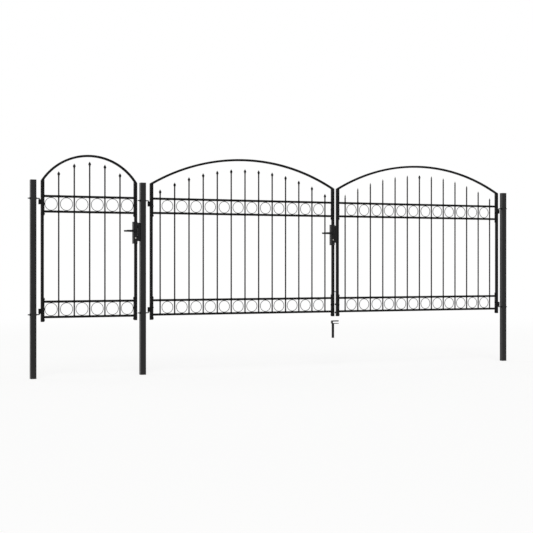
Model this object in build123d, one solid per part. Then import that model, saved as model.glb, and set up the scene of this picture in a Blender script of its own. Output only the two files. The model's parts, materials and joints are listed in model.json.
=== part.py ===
from build123d import *
import math
import os

# Steel garden gate set: three posts, an arched pedestrian gate on the left
# and an arched double driveway gate on the right. Millimetres, Z up.
# X runs along the gates, Y points to the back, and the origin is the middle
# of the middle post's foot. Heights called a drop are measured down from the
# post's top, and those called a rise are measured up from the leaf's foot.

# Posts
pedestrian_bay = 1008.0
driveway_bay = 3942.0
post_size = 50.0
post_wall = 2.0
post_corner = 3.0
post_height = 1750.0
foot_thickness = 4.0
cap_thickness = 4.0
cap_plug_depth = 22.0
cap_wall = 2.0
cap_chamfer = 1.5
cap_clearance = 0.2

# Leaf frames
hinge_gap = 44.0
lock_gap = 29.5
meeting_gap = 24.0
leaf_bottom = 500.0
arch_foot_drop = 5.0
pedestrian_arch_rise = 240.0
driveway_arch_rise = 255.0
stile_size = 25.0
stile_wall = 1.5
stile_corner = 2.5
stile_floor = 2.0
arch_size = 20.0
arch_wall = 1.5
rail_size = 20.0
rail_wall = 1.5
strip_thickness = 5.0
strip_overhang = 26.0
weld_gap = 0.2

# Ring bands, by the centres of their outer rails
pedestrian_top_rail_drop = 142.0
driveway_top_rail_drop = 143.0
pedestrian_bottom_rail_rise = 40.0
driveway_bottom_rail_rise = 45.5
pedestrian_ring_diameter = 115.6
driveway_ring_diameter = 110.6
pedestrian_ring_side_gap = 6.2
driveway_ring_side_gap = 8.7
driveway_end_bay = 50.0
ring_thickness = 4.5
ring_depth = 6.0
ring_sides = 12

# Pickets and spear heads
picket_diameter = 13.0
picket_sides = 6
picket_clearance = 0.2
pedestrian_tip_gap = 40.0
driveway_tip_gap = 74.0
spear_height = 42.0
spear_widest_height = 17.0
spear_width = 26.0
spear_thickness = 9.0
spear_ridge_width = 7.0
spear_neck_width = 12.0
spear_neck_ridge = 6.0
turned_spear_angle = 90.0

# Hinges: a bent rod through the post and a barrel on the stile
rod_diameter = 10.0
rod_sides = 8
rod_end = 22.0
rod_bend = 9.0
post_hole_clearance = 0.3
upper_rod_drop = 164.0
lower_rod_rise = 63.0
barrel_diameter = 22.0
barrel_height = 44.0
barrel_clearance = 0.4
barrel_rod_gap = 8.0
barrel_weld_width = 9.0
pin_setback = 3.0

# Locks, by their drop below the case's top
case_top_drop = 358.0
case_height = 199.0
case_inner_reach = 27.0
case_depth = 42.0
case_corner = 3.0
lever_drop = 82.0
lever_length = 92.0
lever_hub_diameter = 24.0
lever_tip_diameter = 15.0
lever_thickness = 9.0
lever_stand_off = 15.0
spindle_diameter = 14.0
spindle_clearance = 0.4
cylinder_drop = 148.0
cylinder_diameter = 17.0
cylinder_proud = 3.0
round_sides = 12
keep_drop = 8.0
keep_height = 168.0
keep_depth = 30.0
keep_clearance = 6.0
keep_pocket_depth = 13.0
keep_pocket_width = 14.0
latch_drop = 46.0
latch_pocket_height = 32.0
bolt_drop = 146.0
bolt_pocket_height = 40.0

# Drop bolt on the right leaf and its catch in the ground
bolt_diameter = 12.0
bolt_foot_drop = 3.0
bolt_top_rise = 238.0
bolt_handle_length = 48.0
bolt_bend = 10.0
bolt_clearance = 0.4
guide_rises = (34.0, 114.0)
guide_width = 24.0
guide_height = 16.0
guide_wall = 5.0
shank_size = 18.0
shank_length = 138.0
catch_drop = 44.0
catch_height = 32.0
catch_plate = 6.0
catch_width = 34.0
catch_left_reach = 13.0
catch_right_reach = 56.0
catch_corner = 9.0
catch_bolt_offset = 36.5
catch_hole_diameter = 18.0

# Sizes that follow from the ones above
left_post_x = -pedestrian_bay
right_post_x = driveway_bay
half_post = post_size / 2
half_stile = stile_size / 2
half_rail = rail_size / 2
middle_x = driveway_bay / 2
arch_foot = post_height - arch_foot_drop
pivot_offset = barrel_diameter / 2
rod_heights = (leaf_bottom + lower_rod_rise, post_height - upper_rod_drop)
case_top = post_height - case_top_drop
case_bottom = case_top - case_height
lever_height = case_top - lever_drop
keep_top = case_top - keep_drop
bolt_y = half_stile + guide_wall + bolt_diameter / 2
os.makedirs("parts", exist_ok=True)


def save(shape, name):
    """Write one node's solids to its own file."""
    export_step(shape, f"parts/{name}.step")


def block(x0, x1, y0, y1, z0, z1):
    """A box between two corners."""
    return Pos((x0 + x1) / 2, (y0 + y1) / 2, (z0 + z1) / 2) * Box(x1 - x0, y1 - y0, z1 - z0)


def round_bar(diameter, sides):
    """The section of a round bar, drawn with few sides inside its diameter."""
    return RegularPolygon(diameter / 2, sides)


def round_hole(diameter, sides):
    """The section of a round hole, drawn with few sides outside its diameter."""
    return RegularPolygon(diameter / 2, sides, major_radius=False)


def upright(section, x, y, z0, z1):
    """A section carried from one height to another."""
    return Pos(x, y, z0) * extrude(section, z1 - z0)


def along_y(section, x, y0, y1, z):
    """A section carried from front to back."""
    return Plane(origin=(x, y0, z), x_dir=(1, 0, 0), z_dir=(0, 1, 0)) * extrude(section, y1 - y0)


class Leaf:
    """The sizes of one gate leaf, worked out from its two stiles."""

    def __init__(self, name, left_x, right_x, rise, top_rail, bottom_rail, ring, side_gap, end_bay, tip_gap):
        self.name = name
        self.left_x = left_x
        self.right_x = right_x
        self.centre_x = (left_x + right_x) / 2
        self.half_width = (right_x - left_x) / 2 + half_stile
        self.arch_radius = (self.half_width ** 2 + rise ** 2) / (2 * rise)
        self.arch_centre_z = arch_foot + rise - self.arch_radius
        self.ring = ring
        band = ring + 2 * weld_gap + rail_size
        self.upper_rails = (top_rail - band, top_rail)
        self.lower_rails = (bottom_rail, bottom_rail + band)
        self.upper_strip_bottom = self.upper_rails[0] - half_rail - strip_overhang
        self.lower_strip_top = self.lower_rails[1] + half_rail + strip_overhang
        self.strip_faces = (left_x + half_stile + strip_thickness, right_x - half_stile - strip_thickness)
        pitch = ring + 2 * side_gap + picket_diameter
        room = self.strip_faces[1] - self.strip_faces[0] - picket_diameter - 2 * end_bay
        gaps = math.floor(room / pitch)
        self.picket_x = [self.centre_x + (i - gaps / 2) * pitch for i in range(gaps + 1)]
        self.has_end_rings = end_bay >= ring
        self.tip_radius = self.arch_radius - arch_size - tip_gap

    def tip_height(self, x):
        """The height of the spear tip at x, on an arc that follows the arch."""
        return self.arch_centre_z + math.sqrt(self.tip_radius ** 2 - (x - self.centre_x) ** 2)

    def disc(self, radius, depth):
        """A disc about the arch's own centre."""
        return Pos(self.centre_x, 0, self.arch_centre_z) * Rot(90, 0, 0) * Cylinder(radius, depth)

    def over_top_rail(self, half_width, half_depth):
        """The space above the top rail, as wide as asked about the leaf's middle."""
        return block(self.centre_x - half_width, self.centre_x + half_width, -half_depth, half_depth,
                     self.upper_rails[1], self.arch_centre_z + self.arch_radius + arch_size)

    def under_arch(self, shape):
        """Trim the top of a shape to the underside of the arch."""
        room = self.disc(self.arch_radius - arch_size - weld_gap, 4 * stile_size)
        return shape - (self.over_top_rail(self.half_width + stile_size, stile_size) - room)


def post(x):
    """A square tube post with a closed foot and holes for its hinge rods."""
    tube = upright(RectangleRounded(post_size, post_size, post_corner), x, 0, 0, post_height - cap_thickness)
    bore_size = post_size - 2 * post_wall
    tube -= upright(Rectangle(bore_size, bore_size), x, 0, foot_thickness, post_height)
    hole = round_hole(rod_diameter + 2 * post_hole_clearance, rod_sides)
    for z in rod_heights:
        tube -= Plane(origin=(x - post_size, 0, z), z_dir=(1, 0, 0)) * extrude(hole, 2 * post_size)
    return tube


def post_cap(x):
    """A flat plastic cap with a hollow plug that fits into the post."""
    plug_top = post_height - cap_thickness
    plug_bottom = plug_top - cap_plug_depth
    plate = block(x - half_post, x + half_post, -half_post, half_post, plug_top, post_height)
    plate = chamfer(plate.edges().filter_by(Axis.Z), post_corner / 2)
    plate = chamfer(plate.faces().sort_by(Axis.Z)[-1].edges(), cap_chamfer)
    plug_size = post_size - 2 * post_wall - 2 * cap_clearance
    hollow = plug_size - 2 * cap_wall
    plug = upright(Rectangle(plug_size, plug_size) - Rectangle(hollow, hollow), x, 0, plug_bottom, plug_top)
    return plate + plug


def hinge_rod(post_x, side, z, turn):
    """A rod through the post, bent up or down into the hinge pin.

    side is 1 where the leaf hangs to the right of the post, and turn is 1
    for a pin that points up.
    """
    start_x = post_x - side * (half_post + rod_end)
    pivot_x = post_x + side * (half_post + hinge_gap - pivot_offset)
    pin_end = z + turn * (barrel_rod_gap + barrel_height - pin_setback)
    path = FilletPolyline((start_x, 0, z), (pivot_x, 0, z), (pivot_x, 0, pin_end), radius=rod_bend)
    section = Plane(origin=(start_x, 0, z), z_dir=(side, 0, 0)) * round_bar(rod_diameter, rod_sides)
    return sweep(section, path=path)


def barrel(stile_x, side, z0):
    """A hinge barrel with its weld seat against the stile's outer face.

    side is -1 where the post stands to the left of the stile.
    """
    face_x = stile_x + side * half_stile
    axis_x = face_x + side * pivot_offset
    tube = upright(round_bar(barrel_diameter, round_sides), axis_x, 0, z0, z0 + barrel_height)
    half_weld = barrel_weld_width / 2
    tube += block(min(axis_x, face_x), max(axis_x, face_x), -half_weld, half_weld, z0, z0 + barrel_height)
    bore = round_hole(rod_diameter + 2 * barrel_clearance, rod_sides)
    return tube - upright(bore, axis_x, 0, z0 - 1, z0 + barrel_height + 1)


def stile(leaf, x):
    """A square tube stile, closed at its foot and trimmed under the arch."""
    top = post_height + post_size
    tube = upright(RectangleRounded(stile_size, stile_size, stile_corner), x, 0, leaf_bottom, top)
    bore_size = stile_size - 2 * stile_wall
    tube -= upright(Rectangle(bore_size, bore_size), x, 0, leaf_bottom + stile_floor, top)
    return leaf.under_arch(tube)


def split_for_lock(tube, x):
    """Take out the length of a stile that the lock case stands in for."""
    return tube - block(x - stile_size, x + stile_size, -stile_size, stile_size, case_bottom, case_top)


def arch(leaf):
    """The curved top tube, its ends cut upright and open to the stiles below."""
    ring = leaf.disc(leaf.arch_radius, arch_size)
    ring -= leaf.disc(leaf.arch_radius - arch_size, 2 * arch_size)
    band = ring & leaf.over_top_rail(leaf.half_width, arch_size)
    bore = leaf.disc(leaf.arch_radius - arch_wall, arch_size - 2 * arch_wall)
    bore -= leaf.disc(leaf.arch_radius - arch_size + arch_wall, 2 * arch_size)
    bore &= leaf.over_top_rail(leaf.half_width - arch_wall, arch_size)
    mouth = arch_size / 2 - 2 * arch_wall
    for x in (leaf.left_x, leaf.right_x):
        well = block(x - mouth, x + mouth, -mouth, mouth, leaf.upper_rails[1], arch_foot + arch_size)
        bore += well & leaf.disc(leaf.arch_radius - arch_size / 2, arch_size)
    return band - bore


def band_frame(leaf, rail_heights, strip_z0, strip_z1, seats_pickets):
    """Two pierced square rails welded between two flat end strips."""
    left, right = leaf.strip_faces
    frame = block(left - strip_thickness, left, -half_stile, half_stile, strip_z0, strip_z1)
    frame += block(right, right + strip_thickness, -half_stile, half_stile, strip_z0, strip_z1)
    if strip_z1 > arch_foot:
        frame = leaf.under_arch(frame)
    for z in rail_heights:
        frame += block(left, right, -half_rail, half_rail, z - half_rail, z + half_rail)
    bottom = rail_heights[0] - (half_rail - rail_wall if seats_pickets else rail_size)
    hole = round_hole(picket_diameter + 2 * picket_clearance, picket_sides)
    return frame - [upright(hole, x, 0, bottom, rail_heights[1] + rail_size) for x in leaf.picket_x]


def rings(leaf, rail_heights):
    """One ring in each bay of a band, centred between what bounds the bay."""
    middle_z = (rail_heights[0] + rail_heights[1]) / 2
    outer = leaf.ring / 2
    flats = {"side_count": ring_sides, "major_radius": False, "rotation": 180 / ring_sides}
    section = RegularPolygon(outer, **flats) - RegularPolygon(outer - ring_thickness, **flats)
    ring = Rot(90, 0, 0) * Pos(0, 0, -ring_depth / 2) * extrude(section, ring_depth)
    centres = [(a + b) / 2 for a, b in zip(leaf.picket_x, leaf.picket_x[1:])]
    if leaf.has_end_rings:
        first = (leaf.strip_faces[0] + leaf.picket_x[0] - picket_diameter / 2) / 2
        centres = [first] + centres + [2 * leaf.centre_x - first]
    return Compound([Pos(x, 0, middle_z) * ring for x in centres])


def spear_section(width, ridge):
    """A flat six-sided section, thickest along its ridge."""
    half = width / 2
    rib = ridge / 2
    thick = spear_thickness / 2
    corners = [(half, 0), (rib, thick), (-rib, thick), (-half, 0), (-rib, -thick), (rib, -thick)]
    return Polygon(*corners, align=None)


def spear_head(x, tip_z, turn):
    """A forged head that swells from its neck and runs out to a point."""
    base_z = tip_z - spear_height
    place = Pos(x, 0, base_z) * Rot(0, 0, turn)
    neck = place * spear_section(spear_neck_width, spear_neck_ridge)
    widest = place * Pos(0, 0, spear_widest_height) * spear_section(spear_width, spear_ridge_width)
    return loft([neck, widest, Vertex(x, 0, tip_z)], ruled=True)


def lock_case(stile_x):
    """A lock housing welded into the stile, with its spindle bore."""
    left = stile_x - case_inner_reach
    right = stile_x + half_stile
    case = block(left, right, -case_depth / 2, case_depth / 2, case_bottom, case_top)
    case = fillet(case.edges().filter_by(Axis.Z), case_corner)
    spindle_x = (left + right) / 2
    reach = case_depth / 2 + cylinder_proud
    cylinder = round_bar(cylinder_diameter, round_sides)
    case += along_y(cylinder, spindle_x, -reach, reach, case_top - cylinder_drop)
    bore = round_hole(spindle_diameter + 2 * spindle_clearance, round_sides)
    return case - along_y(bore, spindle_x, -case_depth, case_depth, lever_height)


def lever_pair(stile_x):
    """Front and back lever handles on one spindle."""
    spindle_x = stile_x + (half_stile - case_inner_reach) / 2
    near = case_depth / 2 + lever_stand_off
    far = near + lever_thickness
    hub = Circle(lever_hub_diameter / 2)
    tip = Pos(lever_tip_diameter / 2 - lever_length, 0) * Circle(lever_tip_diameter / 2)
    grip = make_hull(hub.edges() + tip.edges())
    levers = along_y(round_bar(spindle_diameter, round_sides), spindle_x, -near, near, lever_height)
    levers += along_y(grip, spindle_x, -far, -near, lever_height)
    levers += along_y(grip, spindle_x, near, far, lever_height)
    return levers


def lock_keep(x0, x1):
    """A keep block with two pockets that face the lock on its left."""
    keep = block(x0, x1, -keep_depth / 2, keep_depth / 2, keep_top - keep_height, keep_top)
    half_pocket = keep_pocket_width / 2
    for drop, height in ((latch_drop, latch_pocket_height), (bolt_drop, bolt_pocket_height)):
        z = case_top - drop
        keep -= block(x0 - 1, x0 + keep_pocket_depth, -half_pocket, half_pocket, z - height / 2, z + height / 2)
    return keep


def drop_bolt(stile_x):
    """The sliding bolt, bent back at the top into its handle."""
    foot = leaf_bottom - bolt_foot_drop
    top = leaf_bottom + bolt_top_rise
    handle_end = (stile_x, bolt_y + bolt_handle_length, top)
    path = FilletPolyline((stile_x, bolt_y, foot), (stile_x, bolt_y, top), handle_end, radius=bolt_bend)
    return sweep(Pos(stile_x, bolt_y, foot) * round_bar(bolt_diameter, rod_sides), path=path)


def bolt_guide(stile_x, rise):
    """A guide welded to the stile's back, bored for the bolt."""
    z0 = leaf_bottom + rise - guide_height / 2
    z1 = z0 + guide_height
    half_guide = guide_width / 2
    back = bolt_y + bolt_diameter / 2 + guide_wall
    guide = block(stile_x - half_guide, stile_x + half_guide, half_stile, back, z0, z1)
    bore = round_hole(bolt_diameter + 2 * bolt_clearance, rod_sides)
    return guide - upright(bore, stile_x, bolt_y, z0 - 1, z1 + 1)


def ground_stop(bolt_x):
    """A shank with a folded catch, open to the right, for the drop bolt."""
    shank_x = bolt_x - catch_bolt_offset
    x0 = shank_x - catch_left_reach
    x1 = shank_x + catch_right_reach
    y0 = bolt_y - catch_width / 2
    y1 = bolt_y + catch_width / 2
    top = leaf_bottom - catch_drop
    bottom = top - catch_height
    strap = block(x0, x1, y0, y1, bottom, top)
    strap = fillet(strap.edges().filter_by(Axis.Y).group_by(Axis.X)[0], catch_corner)
    slot = block(x0 + catch_plate, x1 + 1, y0 - 1, y1 + 1, bottom + catch_plate, top - catch_plate)
    strap -= fillet(slot.edges().filter_by(Axis.Y).group_by(Axis.X)[0], catch_corner - catch_plate)
    hole = round_hole(catch_hole_diameter, round_sides)
    strap -= upright(hole, bolt_x, bolt_y, bottom + catch_plate, top + 1)
    half_shank = shank_size / 2
    shank = block(shank_x - half_shank, shank_x + half_shank, bolt_y - half_shank, bolt_y + half_shank,
                  bottom - shank_length, bottom)
    return strap + shank


pedestrian = Leaf(
    "pedestrian",
    left_post_x + half_post + hinge_gap + half_stile,
    -half_post - lock_gap - half_stile,
    pedestrian_arch_rise,
    post_height - pedestrian_top_rail_drop,
    leaf_bottom + pedestrian_bottom_rail_rise,
    pedestrian_ring_diameter,
    pedestrian_ring_side_gap,
    pedestrian_ring_diameter + pedestrian_ring_side_gap,
    pedestrian_tip_gap,
)
driveway_sizes = (
    driveway_arch_rise,
    post_height - driveway_top_rail_drop,
    leaf_bottom + driveway_bottom_rail_rise,
    driveway_ring_diameter,
    driveway_ring_side_gap,
    driveway_end_bay,
    driveway_tip_gap,
)
left_leaf = Leaf(
    "left_leaf",
    half_post + hinge_gap + half_stile,
    middle_x - meeting_gap / 2 - half_stile,
    *driveway_sizes,
)
right_leaf = Leaf(
    "right_leaf",
    middle_x + meeting_gap / 2 + half_stile,
    right_post_x - half_post - hinge_gap - half_stile,
    *driveway_sizes,
)

# Posts, caps and hinge rods
rods = []
for post_name, post_x, side in (("left", left_post_x, 1), ("middle", 0.0, 1), ("right", right_post_x, -1)):
    save(post(post_x), f"{post_name}_post")
    rods += [hinge_rod(post_x, side, rod_heights[0], 1), hinge_rod(post_x, side, rod_heights[1], -1)]
save(Compound(rods), "hinge_rods")
save(Compound([post_cap(x) for x in (left_post_x, 0.0, right_post_x)]), "post_caps")

# What all three leaves have
for leaf in (pedestrian, left_leaf, right_leaf):
    hinge_x = leaf.right_x if leaf is right_leaf else leaf.left_x
    free_x = leaf.left_x if leaf is right_leaf else leaf.right_x
    free_stile = stile(leaf, free_x)
    if leaf is not right_leaf:
        free_stile = split_for_lock(free_stile, free_x)
    save(stile(leaf, hinge_x), f"{leaf.name}_hinge_stile")
    save(free_stile, f"{leaf.name}_free_stile")
    save(arch(leaf), f"{leaf.name}_arch")
    save(band_frame(leaf, leaf.upper_rails, leaf.upper_strip_bottom, post_height + post_size, False),
         f"{leaf.name}_upper_band")
    save(band_frame(leaf, leaf.lower_rails, leaf_bottom, leaf.lower_strip_top, True), f"{leaf.name}_lower_band")
    save(rings(leaf, leaf.upper_rails), f"{leaf.name}_upper_rings")
    save(rings(leaf, leaf.lower_rails), f"{leaf.name}_lower_rings")
    foot = leaf.lower_rails[0] - half_rail + rail_wall
    bar = round_bar(picket_diameter, picket_sides)
    bars = [upright(bar, x, 0, foot, leaf.tip_height(x) - spear_height) for x in leaf.picket_x]
    save(Compound(bars), f"{leaf.name}_pickets")
    heads = []
    for x in leaf.picket_x:
        turn = turned_spear_angle if leaf is right_leaf and x != leaf.centre_x else 0
        heads.append(spear_head(x, leaf.tip_height(x), turn))
    save(Compound(heads), f"{leaf.name}_spear_heads")
    hinge_side = 1 if leaf is right_leaf else -1
    lower_barrel = rod_heights[0] + barrel_rod_gap
    upper_barrel = rod_heights[1] - barrel_rod_gap - barrel_height
    barrels = [barrel(hinge_x, hinge_side, z) for z in (lower_barrel, upper_barrel)]
    save(Compound(barrels), f"{leaf.name}_hinge_barrels")

# Locks and keeps
for leaf in (pedestrian, left_leaf):
    save(lock_case(leaf.right_x), f"{leaf.name}_lock_case")
    save(lever_pair(leaf.right_x), f"{leaf.name}_lever_handles")
pedestrian_lock_face = pedestrian.right_x + half_stile
driveway_lock_face = left_leaf.right_x + half_stile
save(lock_keep(pedestrian_lock_face + keep_clearance, -half_post), "middle_post_lock_keep")
save(lock_keep(driveway_lock_face + keep_clearance, right_leaf.left_x - half_stile), "right_leaf_lock_keep")

# Drop bolt, its guides and the catch in the ground
save(drop_bolt(right_leaf.left_x), "drop_bolt")
save(Compound([bolt_guide(right_leaf.left_x, rise) for rise in guide_rises]), "right_leaf_bolt_guides")
save(ground_stop(right_leaf.left_x), "ground_stop")
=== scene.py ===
"""Garden gate set: an arched pedestrian gate and an arched double driveway gate.

Lengths are in millimetres, apart from the studio's, which are in metres.
"""

import json
import logging
import math
from dataclasses import dataclass, field
from enum import Enum

import bpy
import numpy as np
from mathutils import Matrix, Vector


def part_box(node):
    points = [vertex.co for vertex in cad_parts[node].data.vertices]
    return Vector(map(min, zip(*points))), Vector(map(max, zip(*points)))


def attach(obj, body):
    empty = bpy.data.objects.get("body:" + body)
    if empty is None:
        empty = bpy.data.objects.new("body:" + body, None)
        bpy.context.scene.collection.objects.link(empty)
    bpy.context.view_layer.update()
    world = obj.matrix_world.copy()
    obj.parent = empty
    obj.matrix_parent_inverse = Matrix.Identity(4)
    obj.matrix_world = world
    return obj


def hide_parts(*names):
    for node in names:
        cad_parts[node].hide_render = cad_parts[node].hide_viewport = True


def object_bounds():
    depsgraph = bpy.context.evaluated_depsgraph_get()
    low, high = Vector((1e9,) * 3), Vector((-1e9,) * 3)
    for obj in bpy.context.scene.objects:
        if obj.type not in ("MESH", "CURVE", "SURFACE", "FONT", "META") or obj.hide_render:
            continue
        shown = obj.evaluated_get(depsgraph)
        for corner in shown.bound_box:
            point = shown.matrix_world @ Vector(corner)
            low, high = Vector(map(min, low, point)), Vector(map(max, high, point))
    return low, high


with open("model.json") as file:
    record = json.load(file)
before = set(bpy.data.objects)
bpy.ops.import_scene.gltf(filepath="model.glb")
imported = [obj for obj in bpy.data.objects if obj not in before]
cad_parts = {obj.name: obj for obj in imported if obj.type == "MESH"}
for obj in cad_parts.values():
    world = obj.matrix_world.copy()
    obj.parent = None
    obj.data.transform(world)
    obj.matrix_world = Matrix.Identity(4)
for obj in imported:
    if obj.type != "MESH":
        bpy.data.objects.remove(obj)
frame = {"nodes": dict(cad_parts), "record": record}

CAD_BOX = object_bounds()
MM = 0.001
IMAGE_SIZE = 533
SHARP_EDGE = math.radians(38)
# Weld beads: the step along them and the fewest steps, their ripples' length, the ripples' height as a
# share of the radius, and the least share of the taper at their tips.
WELD_SPACING = 0.8
WELD_STEPS = 6
WELD_PITCH = 3.2
WELD_RIPPLE = 0.14
WELD_TIP = 0.04
WELD_SIDES = 6
BEND_STEPS = 9
# The room between welded pieces in the CAD, and less than the room between the solids of one node.
WELD_GAP = 0.2
SOLID_GAP = 20.0
# The values that a noise texture mostly keeps to.
NOISE_SPAN = {"From Min": 0.3, "From Max": 0.7}
log = logging.getLogger("gate_set")

Point = tuple[float, float, float]


class Body(Enum):
    """The bodies of the frame that pieces ride on."""

    POSTS = "posts"
    PEDESTRIAN = "pedestrian_gate"
    LEFT = "left_gate_leaf"
    RIGHT = "right_gate_leaf"
    PEDESTRIAN_LEVER = "pedestrian_lever"
    LEFT_LEVER = "left_leaf_lever"
    BOLT = "sliding_bolt"


def linear(hex_colour: str) -> tuple[float, float, float, float]:
    """Turns an sRGB colour into linear light.

    Args:
        hex_colour: The colour as six hex digits after a hash.

    Returns:
        Linear red, green, blue and an alpha of one.
    """
    srgb = np.array([int(hex_colour[i:i + 2], 16) for i in (1, 3, 5)]) / 255
    light = np.where(srgb <= 0.04045, srgb / 12.92, ((srgb + 0.055) / 1.055) ** 2.4)
    return (*light.tolist(), 1.0)


def cleared_tree(owner: bpy.types.Material | bpy.types.World) -> bpy.types.NodeTree:
    """Gives a material or world an empty node tree.

    Args:
        owner: What the tree belongs to.

    Returns:
        The tree, with no node in it.
    """
    owner.use_nodes = True
    owner.node_tree.nodes.clear()
    return owner.node_tree


def add_node(tree: bpy.types.NodeTree, kind: str, settings: dict[str | int, object] | None = None,
             **links: bpy.types.NodeSocket) -> bpy.types.Node:
    """Adds one shader node, with its settings and what feeds it.

    Args:
        tree: The node tree that gets the node.
        kind: The node's Blender type name.
        settings: Attribute names, or input numbers and names, with their values.
        links: Output sockets by the input that they feed, with in0 for input 0
            and underscores for spaces.

    Returns:
        The new node.
    """
    node = tree.nodes.new(kind)
    for key, value in (settings or {}).items():
        if isinstance(key, int) or key in node.inputs:
            node.inputs[key].default_value = value
        else:
            setattr(node, key, value)
    for key, socket in links.items():
        target = int(key[2:]) if key[:2] == "in" and key[2:].isdigit() else key.replace("_", " ")
        tree.links.new(socket, node.inputs[target])
    return node


def add_object(name: str, data: bpy.types.ID) -> bpy.types.Object:
    """Puts a mesh, camera or lamp in the scene.

    Args:
        name: The new object's name.
        data: The mesh, camera or lamp.

    Returns:
        The object, at the origin.
    """
    made = bpy.data.objects.new(name, data)
    bpy.context.scene.collection.objects.link(made)
    return made


@dataclass(frozen=True)
class Finish:
    """One finish: what it is made of and how its surface varies.

    The grain is the small relief that the light catches, with its own changes
    of gloss, and the clouds are slow changes of shade. Dust is a colour, and
    only on what stands on the ground.
    """

    name: str
    slot: str
    colour: str
    shade: str
    roughness: float
    roughness_spread: float
    specular: float = 0.5
    metallic: float = 0.0
    grain: float = 3.0
    grain_depth: float = 0.05
    clouds: float = 220.0
    dust: str = ""
    dust_height: float = 450.0
    dust_cover: float = 0.5

    def material(self) -> bpy.types.Material:
        """Makes the finish's material, or finds it when it has been made before.

        Returns:
            The material.
        """
        if self.name in bpy.data.materials:
            return bpy.data.materials[self.name]
        made = bpy.data.materials.new(self.name)
        tree = cleared_tree(made)
        place = add_node(tree, "ShaderNodeTexCoord").outputs["Object"]
        clouds = add_node(tree, "ShaderNodeTexNoise",
                          {"Scale": 1 / (self.clouds * MM), "Detail": 3.0, "Roughness": 0.55}, Vector=place)
        grain = add_node(tree, "ShaderNodeTexNoise",
                         {"Scale": 1 / (self.grain * MM), "Detail": 2.0, "Roughness": 0.45}, Vector=place)
        spread = add_node(tree, "ShaderNodeMapRange", NOISE_SPAN, Value=clouds.outputs["Fac"])
        colour = add_node(tree, "ShaderNodeMix",
                          {"data_type": "RGBA", 6: linear(self.colour), 7: linear(self.shade)},
                          Factor=spread.outputs["Result"]).outputs[2]
        if self.dust:
            colour = self.with_dust(tree, place, clouds.outputs["Fac"], colour)
        gloss = add_node(tree, "ShaderNodeMapRange",
                         {**NOISE_SPAN, "To Min": self.roughness - self.roughness_spread,
                          "To Max": self.roughness + self.roughness_spread}, Value=grain.outputs["Fac"])
        relief = add_node(tree, "ShaderNodeBump", {"Strength": 1.0, "Distance": self.grain_depth * MM},
                          Height=grain.outputs["Fac"])
        shader = add_node(tree, "ShaderNodeBsdfPrincipled",
                          {"Metallic": self.metallic, "Specular IOR Level": self.specular},
                          Base_Color=colour, Roughness=gloss.outputs["Result"],
                          Normal=relief.outputs["Normal"])
        add_node(tree, "ShaderNodeOutputMaterial", Surface=shader.outputs["BSDF"])
        return made

    def with_dust(self, tree: bpy.types.NodeTree, place: bpy.types.NodeSocket,
                  clouds: bpy.types.NodeSocket, colour: bpy.types.NodeSocket) -> bpy.types.NodeSocket:
        """Adds a thin haze of dust that fades out above the feet.

        Args:
            tree: The material's node tree.
            place: Object coordinates.
            clouds: The slow noise, which breaks up the haze's upper edge.
            colour: The colour under the dust.

        Returns:
            The colour with its dust.
        """
        height = add_node(tree, "ShaderNodeSeparateXYZ", Vector=place).outputs["Z"]
        fade = add_node(tree, "ShaderNodeMapRange",
                        {"From Min": 0.0, "From Max": self.dust_height * MM,
                         "To Min": self.dust_cover, "To Max": 0.0}, Value=height)
        patchy = add_node(tree, "ShaderNodeMath", {"operation": "MULTIPLY"},
                          in0=fade.outputs["Result"], in1=clouds)
        return add_node(tree, "ShaderNodeMix", {"data_type": "RGBA", 7: linear(self.dust)},
                        Factor=patchy.outputs[0], in6=colour).outputs[2]


# The coats' orange peel has its real size, 2 to 3 mm. The real grain of the castings, plastics and
# platings, 0.05 to 0.5 mm, is too fine to show, so it is drawn 1 to 2 mm coarse.

# Polyester powder coat, baked on steel tube: deep black with a satin gloss and a faint orange peel.
POWDER_COAT = Finish("satin_powder_coat", "powder_coat", "#161616", "#1b1b1c", 0.42, 0.05,
                     specular=0.22, grain=2.5, grain_depth=0.035, dust="#2c2a27")
# The same powder coat with painted shade: a darker, less glossy copy of the posts' coat, so that the leaves'
# thin tube, the stiles, the ground stop and the bolt's fittings render a shade deeper than the posts.
PAINTED_SHADE_COAT = Finish("painted_shade_powder_coat", "powder_coat", "#050505", "#0a0a0a", 0.44, 0.05,
                   specular=0.12, grain=2.5, grain_depth=0.035)
# The same coat over small castings: the sand's pits stay open under it and dull it.
CASTING_PAINT = Finish("painted_casting", "cast_spear_paint", "#060606", "#0c0c0c", 0.5, 0.08,
                       specular=0.12, grain=1.6, grain_depth=0.12, clouds=60)
# Polyethylene from a spark-eroded mould: matt, with a fine even grain.
CAP_PLASTIC = Finish("moulded_cap_plastic", "cap_plastic", "#0b0b0c", "#101011", 0.56, 0.07,
                     specular=0.26, grain=0.9, grain_depth=0.06, clouds=50)
# Smooth enamel on folded lock housings: flatter and a little glossier than the tubes.
LOCK_ENAMEL = Finish("lock_case_enamel", "lock_enamel", "#0a0a0b", "#0f0f10", 0.38, 0.05,
                     specular=0.2, grain=1.8, grain_depth=0.02, clouds=90)
# Glass-filled nylon levers. The real ones are rubbed smoother where hands hold them; this finish's gloss
# varies only with its grain.
LEVER_NYLON = Finish("hand_rubbed_nylon", "lever_nylon", "#090909", "#0f0f10", 0.42, 0.08,
                     specular=0.16, grain=1.1, grain_depth=0.03, clouds=45)
# Electroplated zinc with a black passivate: dark metal that keeps a dull sheen on its threads.
BLACK_ZINC = Finish("black_passivated_zinc", "black_zinc", "#262729", "#343537", 0.44, 0.08,
                    metallic=1.0, grain=2.0, grain_depth=0.02, clouds=16)
# Electroplated zinc with a clear passivate: pale blue-grey metal in soft patches.
ZINC_PLATE = Finish("clear_passivated_zinc", "zinc_plate", "#74787a", "#8a8e91", 0.42, 0.09,
                    metallic=1.0, grain=2.2, grain_depth=0.02, clouds=14)
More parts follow.
